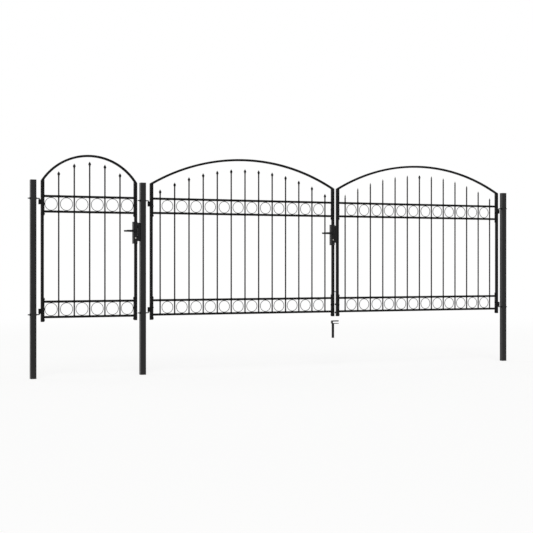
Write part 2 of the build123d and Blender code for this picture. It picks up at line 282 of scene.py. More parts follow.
# Nickel over turned brass: bright and warm, with the lathe's fine haze.
KEY_NICKEL = Finish("nickel_plated_brass", "zinc_plate", "#b9b6ae", "#c9c7c1", 0.27, 0.06,
                    metallic=1.0, grain=0.9, grain_depth=0.006, clouds=6)

FINISH_OF_SLOT = {f.slot: f for f in (POWDER_COAT, CASTING_PAINT, CAP_PLASTIC, LOCK_ENAMEL, LEVER_NYLON,
                                      BLACK_ZINC, ZINC_PLATE)}


class Facing(Enum):
    """The way that a fitting's own upright axis points once it is fixed: rows of a turning matrix."""

    DOWN = ((1, 0, 0), (0, -1, 0), (0, 0, -1))
    LEFT = ((0, 0, -1), (0, 1, 0), (1, 0, 0))
    RIGHT = ((0, 0, 1), (0, 1, 0), (-1, 0, 0))
    FRONT = ((1, 0, 0), (0, 0, -1), (0, 1, 0))
    BACK = ((1, 0, 0), (0, 0, 1), (0, -1, 0))


@dataclass
class Surface:
    """A closed surface as arrays: points, face corners in a row, and face sizes."""

    points: np.ndarray
    corners: np.ndarray
    sizes: np.ndarray

    @classmethod
    def over_grid(cls, points: np.ndarray, wraps: bool = False) -> "Surface":
        """Skins a grid of points whose rows close on themselves.

        Each face joins four neighbours: a point, the next in its row, and the
        same two in the row after it.

        Args:
            points: The grid, rows by points in a row by three.
            wraps: Whether the last row joins the first. If not, one face
                closes each end.

        Returns:
            The surface, with its faces outwards.
        """
        rows, columns = points.shape[:2]
        number = np.arange(rows * columns).reshape(rows, columns)
        beside = np.roll(number, -1, 1)
        bands = rows if wraps else rows - 1
        quads = np.stack([number, beside, np.roll(beside, -1, 0), np.roll(number, -1, 0)], -1)[:bands]
        corners, sizes = [quads.reshape(-1)], [np.full(bands * columns, 4)]
        if not wraps:
            corners += [number[0, ::-1], number[-1]]
            sizes += [np.full(2, columns)]
        return cls(points.reshape(-1, 3), np.concatenate(corners), np.concatenate(sizes)).outward()

    def outward(self) -> "Surface":
        """Turns every face round if the volume inside comes out negative.

        Six times the volume is the sum, over the triangles that fan out from
        each face's first corner, of a corner dotted with the cross product of
        the other two.

        Returns:
            The surface itself, or one with its faces turned round.
        """
        ends = np.cumsum(self.sizes)
        starts = ends - self.sizes
        after = np.arange(len(self.corners)) + 1
        after[ends - 1] = starts
        first, second, third = (self.points[self.corners[i]]
                                for i in (np.repeat(starts, self.sizes), slice(None), after))
        if np.sum(first * np.cross(second, third)) < 0:
            return Surface(self.points, self.corners[::-1], self.sizes[::-1])
        return self

    def facing(self, way: Facing) -> "Surface":
        """Turns the surface about the origin: each point times the matrix."""
        return Surface(self.points @ np.array(way.value, float).T, self.corners, self.sizes)

    def mirrored(self) -> "Surface":
        """Mirrors the surface front to back, (x, -y, z), with its faces still outwards."""
        return Surface(self.points * (1, -1, 1), self.corners[::-1], self.sizes[::-1])

    def copies(self, places: np.ndarray | list[Point] | Point, turns: np.ndarray | float = 0.0) -> "Surface":
        """Sets a copy at each place.

        A copy's point is the point turned about the upright axis, plus the place.

        Args:
            places: One place, or places by three.
            turns: Degrees for all copies, or for each one.

        Returns:
            All the copies as one surface.
        """
        places = np.atleast_2d(np.asarray(places, float))
        angle = np.radians(np.broadcast_to(turns, len(places)))
        matrix = np.zeros((len(places), 3, 3))
        matrix[:, 0, 0] = matrix[:, 1, 1] = np.cos(angle)
        matrix[:, 1, 0], matrix[:, 0, 1], matrix[:, 2, 2] = np.sin(angle), -np.sin(angle), 1
        points = np.einsum("kij,nj->kni", matrix, self.points) + places[:, None]
        shift = len(self.points) * np.arange(len(places))[:, None]
        return Surface(points.reshape(-1, 3), (self.corners + shift).reshape(-1),
                       np.tile(self.sizes, len(places)))

    @classmethod
    def joined(cls, parts: list["Surface"]) -> "Surface":
        """Puts surfaces side by side in one mesh.

        Args:
            parts: The surfaces.

        Returns:
            All of them as one surface.
        """
        shifts = np.cumsum([0] + [len(part.points) for part in parts[:-1]])
        return cls(np.concatenate([part.points for part in parts]),
                   np.concatenate([part.corners + shift for part, shift in zip(parts, shifts)]),
                   np.concatenate([part.sizes for part in parts]))

    def piece(self, name: str, finish: Finish, body: Body, *stands_for: str) -> None:
        """Makes the surface one smooth-shaded object that rides on a body.

        Args:
            name: The object's name.
            finish: Its finish, whose material the piece takes.
            body: The body that it moves with.
            stands_for: The CAD nodes that it is shown in place of.
        """
        mesh = bpy.data.meshes.new(name)
        mesh.vertices.add(len(self.points))
        mesh.vertices.foreach_set("co", (self.points * MM).astype(np.float32).reshape(-1))
        mesh.loops.add(len(self.corners))
        mesh.loops.foreach_set("vertex_index", self.corners.astype(np.int32))
        mesh.polygons.add(len(self.sizes))
        mesh.polygons.foreach_set("loop_start", (np.cumsum(self.sizes) - self.sizes).astype(np.int32))
        mesh.polygons.foreach_set("use_smooth", np.ones(len(self.sizes), bool))
        mesh.update(calc_edges=True)
        mesh.set_sharp_from_angle(angle=SHARP_EDGE)
        mesh.materials.append(finish.material())
        made = add_object(name, mesh)
        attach(made, body.value)
        if stands_for:
            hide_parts(*stands_for)
        log.info("%s: %d faces on %s in %s", name, len(self.sizes), body.value, finish.name)


def even_turns(sides: int) -> np.ndarray:
    """The angles that divide a full turn evenly, from zero."""
    return np.linspace(0, 2 * math.pi, sides, endpoint=False)


def circle(radius: np.ndarray | float, sides: int) -> np.ndarray:
    """Points round a circle: the radius times the cosine and sine of even turns.

    Args:
        radius: One radius, one for each point, or one for each row in a column.
        sides: The number of points.

    Returns:
        The points, and a row of them for each row of radii.
    """
    turn = even_turns(sides)
    return np.asarray(radius, float)[..., None] * np.stack([np.cos(turn), np.sin(turn)], -1)


def lozenge(half_width: np.ndarray, half_depth: np.ndarray, power: np.ndarray, sides: int) -> np.ndarray:
    """Rows of outlines from round to ridged: (w sign(cos t) |cos t|^p, h sign(sin t) |sin t|^p).

    Args:
        half_width: The half width w of each row.
        half_depth: The half depth h of each row.
        power: The power p of each row: 1 is round, 2 a lozenge, under 1 squarer.
        sides: The number of points in a row.

    Returns:
        The points, row by row.
    """
    axes = [size[:, None] * np.sign(way) * np.abs(way) ** power[:, None] for size, way in
            ((half_width, np.cos(even_turns(sides))), (half_depth, np.sin(even_turns(sides))))]
    return np.stack(axes, -1)


def rounded(width: float, depth: float, corner: float, steps: int = 3) -> np.ndarray:
    """A rectangle with quarter circles for corners.

    Each point is the middle of its corner's circle plus the radius times the
    cosine and sine of the turn.

    Args:
        width: Its size along the first axis.
        depth: Its size along the second axis.
        corner: The corners' radius.
        steps: The number of faces round each corner.

    Returns:
        The points, going round once.
    """
    turn = np.linspace(0, math.pi / 2, steps + 1) + np.arange(4)[:, None] * math.pi / 2
    middles = np.array([(1, 1), (-1, 1), (-1, -1), (1, -1)]) * (width / 2 - corner, depth / 2 - corner)
    return (middles[:, None] + corner * np.stack([np.cos(turn), np.sin(turn)], -1)).reshape(-1, 2)


def stacked(outlines: list[np.ndarray] | np.ndarray, heights: list | tuple | np.ndarray,
            wraps: bool = False) -> Surface:
    """Skins level outlines: each point is its outline's (x, y) and its height.

    Args:
        outlines: Rows of the same number of points.
        heights: A height for each row, or for each point of each row.
        wraps: Whether the last row joins the first, as in a bored piece.

    Returns:
        The closed surface.
    """
    outlines, heights = np.asarray(outlines, float), np.asarray(heights, float)
    levels = np.broadcast_to(heights.reshape(len(outlines), -1), outlines.shape[:2])[..., None]
    return Surface.over_grid(np.concatenate([outlines, levels], -1), wraps)


def lathe(profile: list[tuple[float, float]], sides: int, wraps: bool = False) -> Surface:
    """Turns a profile of (radius, height) about the upright axis: (r cos t, r sin t, height)."""
    radius, height = np.array(profile, float).T
    return stacked(circle(radius[:, None], sides), height, wraps)


def travelled(path: np.ndarray) -> np.ndarray:
    """The distance along a path: the running sum of the steps between its points."""
    return np.concatenate([[0], np.cumsum(np.linalg.norm(np.diff(path, axis=0), axis=1))])


def filled(outline: np.ndarray, step: float) -> np.ndarray:
    """Adds points along a closed outline's straight runs, so that a bore inside it comes out round.

    The added points are interpolated between the outline's own, at multiples
    of the step in distance travelled.

    Args:
        outline: The outline's points, going round once.
        step: The distance between added points.

    Returns:
        The outline's own points and the added ones, in order.
    """
    loop = np.concatenate([outline, outline[:1]])
    way = travelled(loop)
    stops = np.unique(np.round(np.concatenate([way[:-1], np.arange(0, way[-1] - step / 2, step)]), 4))
    return np.stack([np.interp(stops, way, loop[:, 0]), np.interp(stops, way, loop[:, 1])], -1)


def bored(outline: np.ndarray, bore: float, height: float, chamfer: float, turned: float) -> Surface:
    """A block with a round bore and its outer corners turned off at both ends.

    Rows go up the outside and down the bore. An end row is the outline drawn
    in wherever its distance from the axis is over the turned radius, and a
    bore point lies towards the outline's own point.

    Args:
        outline: The block's outline.
        bore: The bore's radius.
        height: The block's height.
        chamfer: The height of the turned corners.
        turned: The radius that the ends are turned down to.

    Returns:
        The closed surface, with its foot at height zero.
    """
    reach = np.linalg.norm(outline, axis=1, keepdims=True)
    end, inner = outline * np.minimum(1, turned / reach), outline / reach * bore
    return stacked([end, outline, outline, end, inner, inner],
                   [0, chamfer, height - chamfer, height, height, 0], wraps=True)


def sweep(path: np.ndarray, along: np.ndarray, up: Point, section: np.ndarray,
          wraps: bool = False) -> Surface:
    """Carries a section along a flat path.

    Each point is the path's point, plus the section's first coordinate times
    the cross product of up and along, plus its second coordinate times up.

    Args:
        path: Points on the path.
        along: The path's direction at each point.
        up: The direction square to the plane that the path lies in.
        section: Points of the section, or a row of them for each path point.
        wraps: Whether the path closes on itself.

    Returns:
        The closed surface.
    """
    side = np.cross(np.array(up, float), along)
    points = path[:, None] + section[..., :1] * side[:, None] + section[..., 1:] * np.array(up)
    return Surface.over_grid(points, wraps)


def bent_line(start: Point, corner: Point, end: Point, radius: float,
              spacing: float) -> tuple[np.ndarray, np.ndarray, np.ndarray]:
    """Two runs at a right angle, joined by a quarter circle.

    On the bend, a point is the corner, plus the radius times (sin t - 1) along
    the first run, plus the radius times (1 - cos t) along the second.

    Args:
        start: Where the first run starts.
        corner: Where the runs would meet.
        end: Where the second run ends.
        radius: The bend's radius.
        spacing: The distance between points on the runs.

    Returns:
        The points, their directions, and the distance of each from the start.
    """
    start, corner, end = (np.array(point, float) for point in (start, corner, end))
    lengths = [np.linalg.norm(corner - start), np.linalg.norm(end - corner)]
    first, second = (corner - start) / lengths[0], (end - corner) / lengths[1]
    before, after = (run * np.linspace(0, 1, max(2, round(run / spacing)) + 1)[:, None]
                     for run in (length - radius for length in lengths))
    turn = np.linspace(0, math.pi / 2, BEND_STEPS + 1)[1:-1, None]
    path = np.concatenate([start + before * first,
                           corner + radius * ((np.sin(turn) - 1) * first + (1 - np.cos(turn)) * second),
                           corner + (radius + after) * second])
    along = np.concatenate([0 * before + first, np.cos(turn) * first + np.sin(turn) * second,
                            0 * after + second])
    return path, along, travelled(path)


def weld_line(start: Point, end: Point, size: float) -> Surface:
    """A rippled weld bead on a straight run that is square to Y.

    The radius is the size, times one plus a sine of the distance for the
    ripples, times the root of the distance from the nearer end for the tapers.

    Args:
        start: Where the bead starts.
        end: Where it ends.
        size: Its radius.

    Returns:
        The closed bead.
    """
    start, end = np.array(start, float), np.array(end, float)
    length = np.linalg.norm(end - start)
    way = np.linspace(0, length, max(WELD_STEPS, round(length / WELD_SPACING)) + 1)
    taper = np.sqrt(np.clip(np.minimum(way, length - way) / size, WELD_TIP, 1))
    radius = size * taper * (1 + WELD_RIPPLE * np.sin(2 * math.pi * way / WELD_PITCH))
    along = np.broadcast_to((end - start) / length, (len(way), 3))
    return sweep(start + way[:, None] * along, along, (0, 1, 0), circle(radius[:, None], WELD_SIDES))


def weld_round_tube(size: float, corner: float, bead: float) -> Surface:
    """A rippled bead round the end of a square tube that lies along X.

    The path is the tube's outline, taken at even steps of its length, and its
    direction at a point is the step between the point's two neighbours. The
    bead's radius is one plus a sine of the distance, times its size.

    Args:
        size: The tube's width.
        corner: The radius of the tube's corners.
        bead: The bead's radius.

    Returns:
        The closed ring, about the origin.
    """
    outline = rounded(size, size, corner)
    loop = np.concatenate([outline, outline[:1]])
    way = travelled(loop)
    even = np.linspace(0, way[-1], round(way[-1] / WELD_SPACING), endpoint=False)
    path = np.stack([0 * even, np.interp(even, way, loop[:, 0]), np.interp(even, way, loop[:, 1])], -1)
    along = np.roll(path, -1, 0) - np.roll(path, 1, 0)
    along /= np.linalg.norm(along, axis=1, keepdims=True)
    ripples = round(way[-1] / WELD_PITCH)
    radius = bead * (1 + WELD_RIPPLE * np.sin(2 * math.pi * ripples * even / way[-1]))
    return sweep(path, along, (1, 0, 0), circle(radius[:, None], WELD_SIDES), wraps=True)


def corners_of(node: str) -> np.ndarray:
    """The lowest and highest corner of a CAD node."""
    return np.array([list(corner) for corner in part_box(node)]) / MM


def solids_along_x(node: str) -> tuple[np.ndarray, np.ndarray]:
    """Finds a node's separate solids where they stand in a row along X.

    The points are sorted by X, and a solid ends wherever the next point is
    further away than SOLID_GAP.

    Args:
        node: The CAD node.

    Returns:
        The solids' middles along X, and their tops.
    """
    mesh = frame["nodes"][node].data
    points = np.empty(3 * len(mesh.vertices), np.float32)
    mesh.vertices.foreach_get("co", points)
    points = points.reshape(-1, 3).astype(float) / MM
    points = points[np.argsort(points[:, 0])]
    starts = np.concatenate([[0], np.flatnonzero(np.diff(points[:, 0]) > SOLID_GAP) + 1])
    ends = np.append(starts[1:], len(points)) - 1
    return (points[starts, 0] + points[ends, 0]) / 2, np.maximum.reduceat(points[:, 2], starts)


def hex_nut(across: float, height: float, bore: float, sides: int = 24) -> Surface:
    """A chamfered nut: its radius is half its width over the cosine of the turn from a flat's middle.

    Args:
        across: Its width across the flats.
        height: Its height.
        bore: The bore's radius.
        sides: The number of points round it.

    Returns:
        The nut, with its foot at height zero.
    """
    turn = np.linspace(0, 360, sides, endpoint=False)
    radius = across / 2 / np.cos(np.radians(turn % 60 - 30))
    return bored(circle(radius, sides), bore, height, chamfer=height * 0.14, turned=across * 0.5)


def domed_head(radius: float, height: float, sides: int = 12) -> Surface:
    """A round bolt head: the height falls with the square of the distance from its middle.

    Args:
        radius: Its radius.
        height: Its height at the middle.
        sides: The number of points round it.

    Returns:
        The head, with its foot at height zero.
    """
    reach = np.array([1.0, 1.0, 0.86, 0.58, 0.2])
    rise = np.concatenate([[0, 0.2], 1 - 0.75 * reach[2:] ** 2]) * height
    return lathe(list(zip(reach * radius, rise)), sides)


@dataclass
class GateLeaf:
    """One arched leaf, dressed round the places that its CAD nodes give."""

    name: str
    body: Body
    hinge_side: int
    turned_heads: float = 0.0
    stile_size: float = 25.0
    arch_foot: float = 1745.0
    arch_rows: int = 97
    tube_size: float = 20.0
    tube_corner: float = 2.0
    strip_thickness: float = 5.0
    strip_chamfer: float = 0.6
    strip_ease: float = 0.86
    rail_overlap: float = 1.0
    bar_corner: float = 0.9
    ring_width: float = 4.5
    ring_depth: float = 6.0
    ring_rows: int = 36
    picket_radius: float = 6.5
    picket_sides: int = 18
    barrel_radius: float = 11.0
    barrel_height: float = 44.0
    barrel_bore: float = 5.5
    barrel_chamfer: float = 1.2
    groove_place: tuple[float, float] = (1.6, 6.4)
    groove_bead: float = 2.7
    tack_half: float = 7.0
    tack_aside: float = 3.0
    rail_bead: float = 1.5
    bead_proud: float = 0.3
    bead_inset: float = 0.5
    stile_bead: float = 2.0
    stile_bead_half: float = 10.5
    stile_bead_aside: float = 10.9
    head_room: float = 6.0
    bolt_heights: tuple[float, ...] = (1718, 1667, 1640, 1539, 1452, 514, 560, 611, 698)
    nut_heights: tuple[float, ...] = (1539, 1452, 514, 611, 698)
    centre_x: float = field(init=False)
    half_width: float = field(init=False)
    arch_radius: float = field(init=False)
    arch_centre_z: float = field(init=False)
    stile_xs: list[float] = field(init=False)
    picket_xs: np.ndarray = field(init=False)
    picket_tops: np.ndarray = field(init=False)
    ring_xs: np.ndarray = field(init=False)
    ring_bands: list[np.ndarray] = field(init=False)
    rail_zs: np.ndarray = field(init=False)

    def __post_init__(self) -> None:
        """Reads the leaf's places from its CAD nodes, and works out the arch from its width and rise.

        The arch's radius is (half width squared + rise squared) / twice the
        rise. The rings' middles are halfway between neighbouring pickets, and
        half a ring in from each end of the rings' node, where a leaf may have
        one ring more. The rails lie above and below the rings.
        """
        low, high = self.corners("arch")
        rise = high[2] - self.arch_foot
        self.centre_x, self.half_width = (low[0] + high[0]) / 2, (high[0] - low[0]) / 2
        self.arch_radius = (self.half_width ** 2 + rise ** 2) / (2 * rise)
        self.arch_centre_z = high[2] - self.arch_radius
        self.stile_xs = [self.corners(f"{which}_stile")[:, 0].mean() for which in ("hinge", "free")]
        self.picket_xs, self.picket_tops = solids_along_x(f"{self.name}_pickets")
        low, high = self.corners("upper_rings")
        half = (high[2] - low[2]) / 2
        between = (self.picket_xs[1:] + self.picket_xs[:-1]) / 2
        self.ring_xs = np.unique(np.round([low[0] + half, *between, high[0] - half], 1))
        self.ring_bands = [self.corners(f"{band}_rings")[:, 2] for band in ("lower", "upper")]
        reach = self.tube_size / 2 + WELD_GAP
        self.rail_zs = np.array([z + side * reach for band in self.ring_bands
                                 for z, side in zip(band, (-1, 1))])

    def build(self) -> None:
        """Makes every piece of the leaf."""
        self.show(self.arch_tube(), "arch_tube", "arch")
        self.show(self.band_frames(), "band_frames", "upper_band", "lower_band")
        self.show(self.rings(), "ring_rows", "upper_rings", "lower_rings")
        self.show(self.picket_bars(), "picket_bars", "pickets")
        self.show(self.spear_castings(), "spear_castings", "spear_heads", finish=CASTING_PAINT)
        self.show(self.hinge_knuckles(), "hinge_knuckles", "hinge_barrels")
        self.show(self.welds(), "weld_beads")
        self.show(self.strip_bolts(), "strip_bolts", finish=CASTING_PAINT)
        self.show(self.foot_plugs(), "foot_plugs", finish=CAP_PLASTIC)

    def corners(self, node: str) -> np.ndarray:
        """The lowest and highest corner of one of the leaf's own CAD nodes."""
        return corners_of(f"{self.name}_{node}")

    # The leaves' pieces take the coat's darker copy by default: painted shade.
    def show(self, made: Surface, what: str, *nodes: str, finish: Finish = PAINTED_SHADE_COAT) -> None:
        """Makes one piece that rides on the leaf and stands for the leaf's own CAD nodes."""
        made.piece(f"{self.name}_{what}", finish, self.body, *(f"{self.name}_{node}" for node in nodes))

    def underside(self, x: np.ndarray) -> np.ndarray:
        """The arch's lower face: centre plus the root of inner radius squared less the distance squared."""
        inner = self.arch_radius - self.tube_size
        return self.arch_centre_z + np.sqrt(inner ** 2 - (x - self.centre_x) ** 2)

    def arch_tube(self) -> Surface:
        """A rounded square tube bent to the arch.

        A point is (centre x + r sin t, y, centre z + r cos t), where r is the
        radius to the section's point. The turn t is a share, from -1 to 1, of
        the arc sine of the half width over r, so that both ends stand upright.

        Returns:
            The closed tube.
        """
        section = rounded(self.tube_size, self.tube_size, self.tube_corner)
        reach = self.arch_radius - self.tube_size / 2 + section[:, 1]
        turn = np.linspace(-1, 1, self.arch_rows)[:, None] * np.arcsin(self.half_width / reach)
        return Surface.over_grid(np.stack([self.centre_x + reach * np.sin(turn),
                                           np.broadcast_to(section[:, 0], turn.shape),
                                           self.arch_centre_z + reach * np.cos(turn)], -1))

    def band_frames(self) -> Surface:
        """Two pairs of rails between upright end strips, whose upper ends follow the arch's underside.

        Returns:
            The rails and strips as one surface.
        """
        left, right = self.corners("upper_band")[:, 0]
        rail = rounded(self.tube_size, self.tube_size, self.tube_corner)
        inset = self.strip_thickness - self.rail_overlap
        ends = (left + inset, right - inset)
        parts = [stacked([rail, rail], ends).facing(Facing.RIGHT).copies([(0, 0, z) for z in self.rail_zs])]
        strip = rounded(self.strip_thickness, self.stile_size, self.bar_corner)
        foot, top = self.corners("lower_band")[:, 2]
        levels = [foot, foot + self.strip_chamfer, top - self.strip_chamfer, top]
        upper_foot = np.full(len(strip), self.corners("upper_band")[0, 2])
        for x in (left + self.strip_thickness / 2, right - self.strip_thickness / 2):
            place = strip + (x, 0)
            soften = strip * self.strip_ease + (x, 0)
            parts.append(stacked([soften, place, place, soften], levels))
            parts.append(stacked([soften, place, place],
                                 [upper_foot, upper_foot + self.strip_chamfer, self.underside(place[:, 0])]))
        return Surface.joined(parts)

    def rings(self) -> Surface:
        """Rings bent from flat bar: (r cos t, y, r sin t) for each point of the bar's section.

        Returns:
            Both bands' rings as one surface.
        """
        parts = []
        section = rounded(self.ring_width, self.ring_depth, self.bar_corner, steps=1)
        turn = even_turns(self.ring_rows)[:, None]
        for foot, top in self.ring_bands:
            reach = (top - foot - self.ring_width) / 2 + section[:, 0]
            depth = np.broadcast_to(section[:, 1], (self.ring_rows, len(reach)))
            grid = np.stack([reach * np.cos(turn), depth, reach * np.sin(turn)], -1)
            places = [(x, 0, (foot + top) / 2) for x in self.ring_xs]
            parts.append(Surface.over_grid(grid, wraps=True).copies(places))
        return Surface.joined(parts)

    def picket_bars(self) -> Surface:
        """Round bars from inside the bottom rail to the heads' necks.

        Returns:
            All the bars as one surface.
        """
        section = circle(self.picket_radius, self.picket_sides)
        foot = self.corners("pickets")[0, 2]
        return Surface.joined([stacked([section + (x, 0)] * 2, [foot, top + 1])
                               for x, top in zip(self.picket_xs, self.picket_tops)])

    def spear_castings(self) -> Surface:
        """Cast heads that flare from a round neck to a ridged blade.

        The rows' power grows with the height from 1, a circle, to nearly 2, a
        lozenge with a soft ridge.

        Returns:
            All the heads as one surface.
        """
        height = np.array([-3, -2.2, 0, 3, 7, 11, 14.5, 17, 19.5, 24, 29, 34, 38, 40.6, 42])
        half_width = np.array([6.4, 7.3, 7.3, 7.1, 8.4, 10.8, 12.5, 13, 12.7, 10.8, 8.1, 5.2, 2.8, 1.2, 0.4])
        half_depth = np.interp(height, [-3, -2.2, 3, 17, 40.6, 42], [6.4, 7.3, 6.4, 4.5, 0.9, 0.3])
        outline = lozenge(half_width, half_depth, np.interp(height, [0, 14], [1.0, 1.7]), sides=20)
        turns = np.where(np.abs(self.picket_xs - self.centre_x) < SOLID_GAP, 0, self.turned_heads)
        places = [(x, 0, z) for x, z in zip(self.picket_xs, self.picket_tops)]
        return stacked(outline, height).copies(places, turns)

    def hinge_knuckles(self) -> Surface:
        """Two bored barrels with chamfered ends, welded down both sides.

        Returns:
            The barrels and their beads as one surface.
        """
        foot, top = self.corners("hinge_barrels")[:, 2]
        face = self.stile_xs[0] + self.hinge_side * self.stile_size / 2
        radius, height, chamfer = self.barrel_radius, self.barrel_height, self.barrel_chamfer
        barrel = lathe([(self.barrel_bore, 0), (radius - chamfer, 0), (radius, chamfer),
                        (radius, height - chamfer), (radius - chamfer, height), (self.barrel_bore, height)],
                       sides=32, wraps=True)
        feet = (foot, top - height)
        parts = [barrel.copies([(face + self.hinge_side * radius, 0, z) for z in feet])]
        groove, aside = face + self.hinge_side * self.groove_place[0], self.groove_place[1]
        parts += [weld_line((groove, y, z + 1.5), (groove, y, z + height - 1.5), self.groove_bead)
                  for z in feet for y in (-aside, aside)]
        return Surface.joined(parts)

    def welds(self) -> Surface:
        """The beads at pickets, rings, rail ends and stile tops.

        Returns:
            All the beads as one surface.
        """
        half, radius, zs = self.tube_size / 2, self.picket_radius, self.rail_zs
        collar = lathe([(radius - 0.4, 0), (radius + 2.9, 0), (radius + 1.9, 1.2), (radius + 0.7, 2.4),
                        (radius - 0.4, 3.2)], 12, wraps=True)
        above = collar.copies([(x, 0, z + half) for x in self.picket_xs for z in zs])
        below = collar.facing(Facing.DOWN).copies([(x, 0, z - half) for x in self.picket_xs for z in zs[1:]])
        tack = weld_line((-self.tack_half, 0, 0), (self.tack_half, 0, 0), self.rail_bead)
        inner = [(x, y, z + side * (half + WELD_GAP)) for x in self.ring_xs
                 for y in (-self.tack_aside, self.tack_aside) for z, side in zip(zs, (1, -1, 1, -1))]
        loop = weld_round_tube(self.tube_size + 2 * self.bead_proud, self.tube_corner, self.rail_bead)
        left, right = self.corners("upper_band")[:, 0]
        inset = self.strip_thickness + self.bead_inset
        ends = [(x, 0, z) for x in (left + inset, right - inset) for z in zs]
        parts = [above, below, tack.copies(inner), loop.copies(ends)]
        for x in self.stile_xs:
            span = np.array([x - self.stile_bead_half, x + self.stile_bead_half])
            (from_x, to_x), (from_z, to_z) = span, self.underside(span) - self.bead_proud
            parts += [weld_line((from_x, y, from_z), (to_x, y, to_z), self.stile_bead)
                      for y in (-self.stile_bead_aside, self.stile_bead_aside)]
        return Surface.joined(parts)

    def strip_bolts(self) -> Surface:
        """Domed bolt heads on the stiles' outer faces and their nuts on the end strips.

        Returns:
            The heads, nuts and bolt ends as one surface.
        """
        parts = []
        for x in self.stile_xs:
            left = x < self.centre_x
            outward, inward = (Facing.LEFT, Facing.RIGHT) if left else (Facing.RIGHT, Facing.LEFT)
            sign = -1 if left else 1
            face = x + sign * self.stile_size / 2
            strip = x - sign * (self.stile_size / 2 + self.strip_thickness)
            clear = [(face, 0, z) for z in self.bolt_heights if not self.behind_barrel(x, z)]
            places = [(strip, 0, z) for z in self.nut_heights]
            parts += [domed_head(radius=6.0, height=2.3).facing(outward).copies(clear),
                      hex_nut(across=13, height=5, bore=3.9).facing(inward).copies(places),
                      lathe([(4, -0.5), (4, 5.6), (3.4, 6.2)], 12).facing(inward).copies(places)]
        return Surface.joined(parts)

    def behind_barrel(self, x: float, z: float) -> bool:
        """Finds whether a bolt head would stand where a hinge barrel is.

        Args:
            x: The middle of the head's stile.
            z: The head's height.

        Returns:
            Whether it would.
        """
        foot, top = self.corners("hinge_barrels")[:, 2]
        half = self.barrel_height / 2
        near = min(abs(z - foot - half), abs(z - top + half))
        return abs(x - self.stile_xs[0]) < 1 and near < half + self.head_room

    def foot_plugs(self) -> Surface:
        """Thin plugs with rounded edges under the stiles' feet.

        Returns:
            Both plugs as one surface.
        """
        sizes, heights = (24.6, 24.6, 23.4, 20.0, 8.0), (0, -0.8, -1.7, -2.1, -2.3)
        plug = stacked([rounded(size, size, 2.4) for size in sizes], heights)
        return plug.copies([(x, 0, self.corners("hinge_stile")[0, 2]) for x in self.stile_xs])


@dataclass
class PostFittings:
    """The posts' caps and the bent hinge rods with their nuts."""

    post_size: float = 50.0
    rod_radius: float = 5.0
    rod_end: float = 22.0
    rod_bend: float = 9.0
    rod_spacing: float = 0.3
    rod_sides: int = 16
    pivot_reach: float = 33.0
    pin_rise: float = 49.0
    thread_pitch: float = 1.5
    thread_depth: float = 0.5
    thread_past: float = 12.0
    chamfer_share: float = 0.75
    washer: float = 1.6
    posts: list[tuple[float, int]] = field(init=False)
    rods: list[tuple[float, int]] = field(init=False)

    def __post_init__(self) -> None:
        """Reads the posts' middles and the rods' heights, each with the way that it points."""
        self.posts = [(corners_of(f"{name}_post")[:, 0].mean(), side) for name, side in
                      (("left", 1), ("middle", 1), ("right", -1))]
        low, high = corners_of("hinge_rods")[:, 2]
        self.rods = [(low + self.rod_radius, 1), (high - self.rod_radius, -1)]

    def build(self) -> None:
        """Makes the caps, the rods and the nuts of all three posts."""
        self.cap_lids().piece("post_cap_lids", CAP_PLASTIC, Body.POSTS, "post_caps")
        self.pin_rods().piece("hinge_pin_rods", BLACK_ZINC, Body.POSTS, "hinge_rods")
        self.rod_nuts().piece("hinge_rod_nuts", BLACK_ZINC, Body.POSTS)

    def cap_lids(self) -> Surface:
        """Moulded lids with a plug, a rolled edge and a slightly crowned top.

        Returns:
            The three lids as one surface.
        """
        rows = ((43.0, -22), (45.4, -20), (45.4, -0.4), (48.8, 0), (50, 0.7), (50, 2.3), (49.5, 3.0),
                (48.4, 3.5), (46.0, 3.75), (32.0, 3.92), (12.0, 4.0))
        lid = stacked([rounded(size, size, max(1.0, 3.2 - (50 - size) / 3)) for size, _ in rows],
                      [height for _, height in rows])
        return lid.copies([(x, 0, corners_of("left_post")[1, 2]) for x, _ in self.posts])

    def pin_rods(self) -> Surface:
        """Threaded rods through the posts, bent into the hinge pins.

        The radius is the rod's own, less the thread's depth times half of one
        plus the cosine of (the turns travelled less the turn round the rod),
        as far as the bend. Both ends are chamfered.

        Returns:
            All the rods as one surface.
        """
        parts = []
        for x, side in self.posts:
            for z, way in self.rods:
                pivot = x + side * (self.post_size / 2 + self.pivot_reach)
                start = x - side * (self.post_size / 2 + self.rod_end)
                pin_end = (pivot, 0, z + way * self.pin_rise)
                path, along, run = bent_line((start, 0, z), (pivot, 0, z), pin_end,
                                             self.rod_bend, self.rod_spacing)
                turns = 2 * math.pi * run[:, None] / self.thread_pitch
                helix = 0.5 + 0.5 * np.cos(turns - even_turns(self.rod_sides))
                threaded = (run < self.post_size + self.rod_end + self.thread_past)[:, None]
                radius = self.rod_radius - self.thread_depth * helix * threaded
                from_end = np.minimum(run, run[-1] - run)[:, None]
                chamfer = np.clip(self.chamfer_share + from_end / self.rod_radius, 0, 1)
                parts.append(sweep(path, along, (0, 1, 0), circle(radius * chamfer, self.rod_sides)))
        return Surface.joined(parts)

    def rod_nuts(self) -> Surface:
        """A thin nut and a washer on the rod at both faces of each post.

        Returns:
            All the nuts and washers as one surface.
        """
        washer = bored(circle(10.5, 24), bore=5.1, height=self.washer, chamfer=0.3, turned=10.3)
        pair = Surface.joined([washer, hex_nut(across=17, height=5, bore=4.8).copies((0, 0, self.washer))])
        half = self.post_size / 2
        return Surface.joined([pair.facing(way).copies([(x + sign * half, 0, z) for x, _ in self.posts
                                                        for z, _ in self.rods])
                               for way, sign in ((Facing.LEFT, -1), (Facing.RIGHT, 1))])


